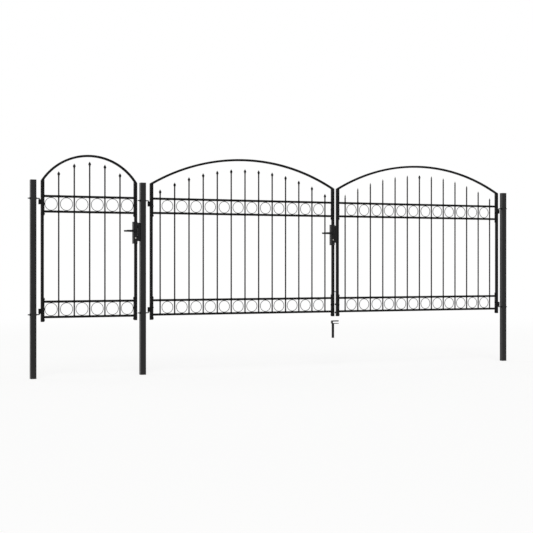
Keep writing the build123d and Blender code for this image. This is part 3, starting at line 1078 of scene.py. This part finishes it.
@dataclass
class GateLock:
    """The fittings of one lock: levers, roses, key cylinders, bolts and screws."""

    name: str
    body: Body
    lever_body: Body
    lever_drop: float = 82.0
    cylinder_drop: float = 148.0
    latch_drop: float = 46.0
    bolt_drop: float = 146.0
    forend_drop: float = 99.5
    case_half_depth: float = 21.0
    screw_inset: float = 11.0
    spindle_end: float = 8.0
    lever_length: float = 92.0
    lever_offset: float = 40.5
    lever_bend: float = 11.0
    lever_neck: float = 6.0
    lever_blend: float = 14.0
    lever_dome: float = 7.0
    lever_spacing: float = 0.9
    low: np.ndarray = field(init=False)
    high: np.ndarray = field(init=False)

    def __post_init__(self) -> None:
        """Reads the lock case's corners."""
        self.low, self.high = corners_of(f"{self.name}_lock_case")

    def build(self) -> None:
        """Makes the lock's pieces, on the levers and on the leaf."""
        self.levers().piece(f"{self.name}_lever_grips", LEVER_NYLON, self.lever_body,
                            f"{self.name}_lever_handles")
        for what, finish, made in (("lever_roses", LEVER_NYLON, self.roses()),
                                   ("key_cylinders", LOCK_ENAMEL, self.cylinders()),
                                   ("key_plugs", KEY_NICKEL, self.plugs()),
                                   # The key slots' dark inlays are painted shade.
                                   ("keyway_shade_inlays", LOCK_ENAMEL, self.keyway_shade_inlays()),
                                   ("forend", ZINC_PLATE, self.forend()),
                                   ("case_screws", LOCK_ENAMEL, self.case_screws())):
            made.piece(f"{self.name}_{what}", finish, self.body)

    def levers(self) -> Surface:
        """A pair of lever handles on a round spindle.

        Each is a section carried from the spindle round a bend and out to the
        tip. It is round on the spindle and flatter and a little squarer on the
        grip. Near the tip it shrinks by the root of one less the square of the
        distance into the last stretch, as a share of it, into a dome.

        Returns:
            Both levers as one surface.
        """
        path, along, run = bent_line((0, self.spindle_end, 0), (0, -self.lever_offset, 0),
                                     (-self.lever_length, -self.lever_offset, 0),
                                     self.lever_bend, self.lever_spacing)
        start = self.lever_offset + self.spindle_end - self.lever_bend
        flat = start + self.lever_blend
        stations = [0, start - self.lever_neck, flat, run[-1]]
        dome = np.sqrt(1 - np.clip((run - run[-1] + self.lever_dome) / self.lever_dome, 0, 0.995) ** 2)
        section = lozenge(half_width=np.interp(run, stations, [7, 7, 4.5, 4.3]) * dome,
                          half_depth=np.interp(run, stations, [7, 7, 9.6, 7.3]) * dome,
                          power=np.interp(run, [start, flat], [1.0, 0.8]), sides=24)
        front = sweep(path, along, (0, 0, 1), section)
        return Surface.joined([front, front.mirrored()]).copies(self.place(self.lever_drop))

    def place(self, drop: float) -> Point:
        """The place in the middle of the case, that far below its top."""
        return (self.low[0] + self.high[0]) / 2, 0.0, self.high[2] - drop

    def both_faces(self, fitting: Surface, drop: float, aside: float = 0.0) -> Surface:
        """Sets a fitting, whose second axis points down once fixed, on the front and the back of the case.

        Args:
            fitting: The fitting, with its foot at height zero.
            drop: How far below the case's top.
            aside: How far beside the case's middle.

        Returns:
            Both fittings as one surface.
        """
        x, _, z = self.place(drop)
        faces = ((fitting.mirrored().facing(Facing.FRONT), -1), (fitting.facing(Facing.BACK), 1))
        return Surface.joined([made.copies((x + aside, side * self.case_half_depth, z))
                               for made, side in faces])

    def roses(self) -> Surface:
        """Round roses under the levers, with a rolled edge, and a neck ring.

        Returns:
            Both roses as one surface.
        """
        rose = lathe([(7.6, -0.5), (16, -0.5), (16, 2.6), (15.2, 3.8), (13.4, 4.4), (10.2, 4.6), (10.2, 6.4),
                      (9.6, 7.0), (7.6, 7.0)], 32, wraps=True)
        return self.both_faces(rose, self.lever_drop)

    def cylinders(self) -> Surface:
        """Key cylinders: a round body over a narrow tail, with a seat for the plug.

        Returns:
            Both cylinders as one surface.
        """
        body = lathe([(8.8, -1), (8.8, 3.1), (8.2, 3.6), (7.1, 3.6), (6.9, 3.1), (0.4, 3.1)], 28)
        tail = stacked([rounded(10, 19, 4.9)] * 2 + [rounded(9, 18, 4.4)], [-1, 2.6, 3.1]).copies((0, 11, 0))
        return self.both_faces(Surface.joined([body, tail]), self.cylinder_drop)

    def plugs(self) -> Surface:
        """The turning plug in each key cylinder, a bright disc with a chamfered edge."""
        disc = lathe([(6.3, 2.5), (6.3, 3.4), (5.9, 3.8), (0.4, 3.8)], 28)
        return self.both_faces(disc, self.cylinder_drop)

    def keyway_shade_inlays(self) -> Surface:
        """Painted shade in the key slots: dark inlays a hair above the plugs stand in for the slots' shaded
        depth.
        """
        slot = stacked([rounded(1.7, 8.4, 0.8)] * 2 + [rounded(1.5, 8.2, 0.7)], [3.2, 3.83, 3.88])
        return self.both_faces(slot, self.cylinder_drop)

    def forend(self) -> Surface:
        """The face plate in the lock's edge with the latch's slanted tongue and the dead bolt drawn back.

        The tongue's outline narrows to one side as it rises, which gives its slant.

        Returns:
            The plate, tongue and bolt as one surface.
        """
        plate = stacked([rounded(176, 20, 2)] * 2 + [rounded(175.4, 19.4, 1.7)], [-0.5, 0.4, 0.7])
        tongue = stacked([rounded(24, 11, 1.2), rounded(24, 11, 1.2), rounded(23.4, 5.0, 1.2) + (0, 2.6)],
                         [0, 0.9, 5.2])
        bolt = stacked([rounded(30, 10, 1.0)] * 2 + [rounded(29, 9, 0.8)], [0, 1.6, 2.1])
        return Surface.joined([part.facing(Facing.RIGHT).copies((self.high[0], 0, self.high[2] - drop))
                               for part, drop in ((plate, self.forend_drop), (tongue, self.latch_drop),
                                                  (bolt, self.bolt_drop))])

    def case_screws(self) -> Surface:
        """Low domed screws near the corners of both side plates.

        Returns:
            All the screws as one surface.
        """
        width, _, height = self.high - self.low
        screw, inset = domed_head(radius=3.6, height=1.5), self.screw_inset
        return Surface.joined([self.both_faces(screw, drop, side * (width / 2 - inset))
                               for side in (-1, 1) for drop in (height - inset, inset)])


@dataclass
class DropBolt:
    """The right leaf's sliding bolt, its guides and the catch that it drops into."""

    radius: float = 6.0
    bend: float = 10.0
    guide_depth: float = 22.0
    guide_width: float = 24.0
    guide_height: float = 16.0
    guide_bore: float = 6.5
    bead: float = 1.6
    bead_half: float = 10.0
    bead_out: float = 0.7
    bead_aside: float = 0.3
    tip_length: float = 4.0
    tip_share: float = 0.35
    spacing: float = 3.0
    catch_plate: float = 6.0
    catch_hole_radius: float = 9.0
    wear_plate: float = 4.4
    wear_inset_x: float = 0.6
    wear_inset_y: float = 0.5
    shank_size: float = 18.0
    shank_aside: float = 13.0
    shank_drop: float = 32.2

    def build(self) -> None:
        """Makes the bolt, its guides and what is welded to the catch."""
        low, high = corners_of("drop_bolt")
        x, y, grip = (low[0] + high[0]) / 2, low[1] + self.radius, high[2] - self.radius
        path, along, run = bent_line((x, y, low[2]), (x, y, grip), (x, high[1], grip),
                                     self.bend, self.spacing)
        from_end = np.minimum(run, run[-1] - run)
        radius = self.radius * np.sqrt(np.clip(from_end / self.tip_length + self.tip_share, 0, 1))
        sweep(path, along, (1, 0, 0), circle(radius[:, None], 24)).piece(
            "drop_bolt_rod", ZINC_PLATE, Body.BOLT, "drop_bolt")
        # The guides and the catch's plate take the coat's darker copy: painted shade.
        self.guides(x, y).piece("bolt_guide_loops", PAINTED_SHADE_COAT, Body.RIGHT, "right_leaf_bolt_guides")
        self.catch_fittings(x, y).piece("catch_wear_plate", PAINTED_SHADE_COAT, Body.POSTS)

    def guides(self, x: float, y: float) -> Surface:
        """Two bored loops that carry the bolt, with the beads that hold them to the stile.

        Args:
            x: The bolt's middle along X.
            y: The bolt's middle along Y.

        Returns:
            The loops and beads as one surface.
        """
        loop = filled(rounded(self.guide_width, self.guide_depth, 4.0, steps=6), step=1.5)
        guide = bored(loop, self.guide_bore, self.guide_height, chamfer=1.2, turned=13.4)
        (_, face, foot), (_, _, top) = corners_of("right_leaf_bolt_guides")
        parts = [guide.copies([(x, y, foot), (x, y, top - self.guide_height)])]
        groove, reach = face + self.bead_out, self.guide_height + self.bead_aside
        parts += [weld_line((x - self.bead_half, groove, z), (x + self.bead_half, groove, z), self.bead)
                  for z in (foot - self.bead_aside, foot + reach, top - reach, top + self.bead_aside)]
        return Surface.joined(parts)

    def catch_fittings(self, x: float, y: float) -> Surface:
        """A bored plate that doubles the catch's upper lip, and the bead where the shank meets the lower one.

        Args:
            x: The bolt's middle along X.
            y: The bolt's middle along Y.

        Returns:
            The plate and bead as one surface.
        """
        low, high = corners_of("ground_stop")
        left, right = low[0] + 1.5 * self.catch_plate, high[0] - self.wear_inset_x
        outline = rounded(right - left, high[1] - low[1] - 2 * self.wear_inset_y, 1.2)
        outline = filled(outline, self.spacing) + ((left + right) / 2 - x, 0)
        lip = high[2] - self.catch_plate - self.wear_plate
        plate = bored(outline, self.catch_hole_radius, self.wear_plate, chamfer=0.6, turned=right - left)
        bead = weld_round_tube(self.shank_size, corner=1.0, bead=self.bead).facing(Facing.LEFT)
        return Surface.joined([plate.copies((x, y, lip)),
                               bead.copies((low[0] + self.shank_aside, y, high[2] - self.shank_drop))])


@dataclass(frozen=True)
class Lamp:
    """A soft distant lamp.

    The tilt is its degrees from straight down, and the turn those round the
    upright axis. The strength is its light on a face square to it, in watts
    per square metre, and the softness its width in degrees.
    """

    name: str
    tilt: float
    turn: float
    strength: float
    softness: float

    def build(self) -> None:
        """Puts the lamp in the scene."""
        data = bpy.data.lights.new(self.name, "SUN")
        data.energy, data.angle = self.strength, math.radians(self.softness)
        add_object(self.name, data).rotation_euler = (math.radians(self.tilt), 0, math.radians(self.turn))


@dataclass
class Studio:
    """The camera at the photograph's place, a pale floor and soft light, in metres."""

    camera_place: Point = (-3.482, -10.568, 1.004)
    looks_along: Point = (0.4077, 0.9131, 0.0)
    focal_pixels: float = 1214.0
    horizon_above_centre: float = 2.0
    sensor_width: float = 36.0
    floor_radius: float = 90.0
    floor_sides: int = 96
    shadow_reach: tuple[float, float] = (5.0, 13.0)
    floor_whiteness: float = 0.75
    fill_light: float = 0.62
    lamps: tuple[Lamp, ...] = (Lamp("key_light", tilt=48, turn=-22, strength=1.25, softness=24),
                               Lamp("back_light", tilt=72, turn=-140, strength=0.55, softness=30))

    def build(self) -> None:
        """Makes the camera, the floor, the world and the lamps."""
        self.camera()
        self.floor()
        self.world()
        for lamp in self.lamps:
            lamp.build()

    def camera(self) -> None:
        """Places the camera by the photograph's own perspective."""
        data = bpy.data.cameras.new("photo_camera")
        data.sensor_width = self.sensor_width
        data.lens = self.focal_pixels / IMAGE_SIZE * self.sensor_width
        data.shift_y = -self.horizon_above_centre / IMAGE_SIZE
        data.clip_start, data.clip_end = 0.1, 300
        camera = add_object("photo_camera", data)
        camera.location = self.camera_place
        camera.rotation_mode = "QUATERNION"
        camera.rotation_quaternion = Vector(self.looks_along).to_track_quat("-Z", "Y")
        bpy.context.scene.camera = camera

    def floor(self) -> None:
        """Makes a round floor that keeps the shadow near the posts and fades to white."""
        middle = (np.array(CAD_BOX[0]) + np.array(CAD_BOX[1])) / 2
        centre = (middle[0], middle[1], 0)
        rim = np.pad(circle(self.floor_radius, self.floor_sides), ((0, 0), (0, 1))) + centre
        mesh = bpy.data.meshes.new("floor")
        mesh.from_pydata(rim.tolist(), [], [list(range(self.floor_sides))])
        floor = add_object("floor", mesh)
        made = bpy.data.materials.new("pale_floor")
        tree = cleared_tree(made)
        place = add_node(tree, "ShaderNodeTexCoord").outputs["Object"]
        centred = add_node(tree, "ShaderNodeVectorMath", {"operation": "SUBTRACT", 1: centre}, in0=place)
        away = add_node(tree, "ShaderNodeVectorMath", {"operation": "LENGTH"}, in0=centred.outputs[0])
        near, far = self.shadow_reach
        fade = add_node(tree, "ShaderNodeMapRange",
                        {"interpolation_type": "SMOOTHSTEP", "From Min": near, "From Max": far,
                         "To Min": self.floor_whiteness}, Value=away.outputs["Value"])
        white = add_node(tree, "ShaderNodeEmission", {"Color": (1, 1, 1, 1)}, Strength=self.seen_rays(tree))
        pale = add_node(tree, "ShaderNodeBsdfDiffuse", {"Color": linear("#f7f7f6")})
        both = add_node(tree, "ShaderNodeMixShader", in0=fade.outputs["Result"], in1=pale.outputs[0],
                        in2=white.outputs[0])
        add_node(tree, "ShaderNodeOutputMaterial", Surface=both.outputs[0])
        mesh.materials.append(made)

    def seen_rays(self, tree: bpy.types.NodeTree) -> bpy.types.NodeSocket:
        """White for rays that show the background, and the plain level for rays that only light.

        Args:
            tree: The node tree that needs the strength.

        Returns:
            A strength of one for camera, glossy and transmission rays, or the fill light's.
        """
        path = add_node(tree, "ShaderNodeLightPath").outputs
        shown = path["Is Camera Ray"]
        for ray in ("Is Glossy Ray", "Is Transmission Ray"):
            either = add_node(tree, "ShaderNodeMath", {"operation": "MAXIMUM"}, in0=shown, in1=path[ray])
            shown = either.outputs[0]
        return add_node(tree, "ShaderNodeMapRange", {"To Min": self.fill_light, "To Max": 1.0},
                        Value=shown).outputs["Result"]

    def world(self) -> None:
        """Makes a white world that lights the object at a plain level."""
        world = bpy.data.worlds.new("studio_white")
        tree = cleared_tree(world)
        sky = add_node(tree, "ShaderNodeBackground", {"Color": (1, 1, 1, 1)}, Strength=self.seen_rays(tree))
        add_node(tree, "ShaderNodeOutputWorld", Surface=sky.outputs[0])
        bpy.context.scene.world = world


def dress_frame() -> None:
    """Gives every carried-over node the finish of its slot, or, on the stiles and the ground stop, the coat's
    darker copy with painted shade.
    """
    slots = {part["node"]: part["material_slot"] for part in frame["record"]["subparts"]}
    for name, node in frame["nodes"].items():
        # The stiles and the ground stop take the coat's darker copy: painted shade.
        finish = PAINTED_SHADE_COAT if name.endswith(("_stile", "ground_stop")) else FINISH_OF_SLOT[slots[name]]
        for place in node.material_slots:
            place.material = finish.material()
        log.info("%s wears %s", name, finish.name)


def main() -> None:
    """Builds the whole scene in order."""
    logging.basicConfig(level=logging.INFO, format="%(name)s: %(message)s")
    bpy.context.scene.view_settings.view_transform = "Standard"
    Studio().build()
    dress_frame()
    for part in (PostFittings(),
                 GateLeaf("pedestrian", Body.PEDESTRIAN, hinge_side=-1),
                 GateLeaf("left_leaf", Body.LEFT, hinge_side=-1),
                 GateLeaf("right_leaf", Body.RIGHT, hinge_side=1, turned_heads=90.0),
                 GateLock("pedestrian", Body.PEDESTRIAN, Body.PEDESTRIAN_LEVER),
                 GateLock("left_leaf", Body.LEFT, Body.LEFT_LEVER),
                 DropBolt()):
        part.build()


if __name__ == "__main__":
    main()
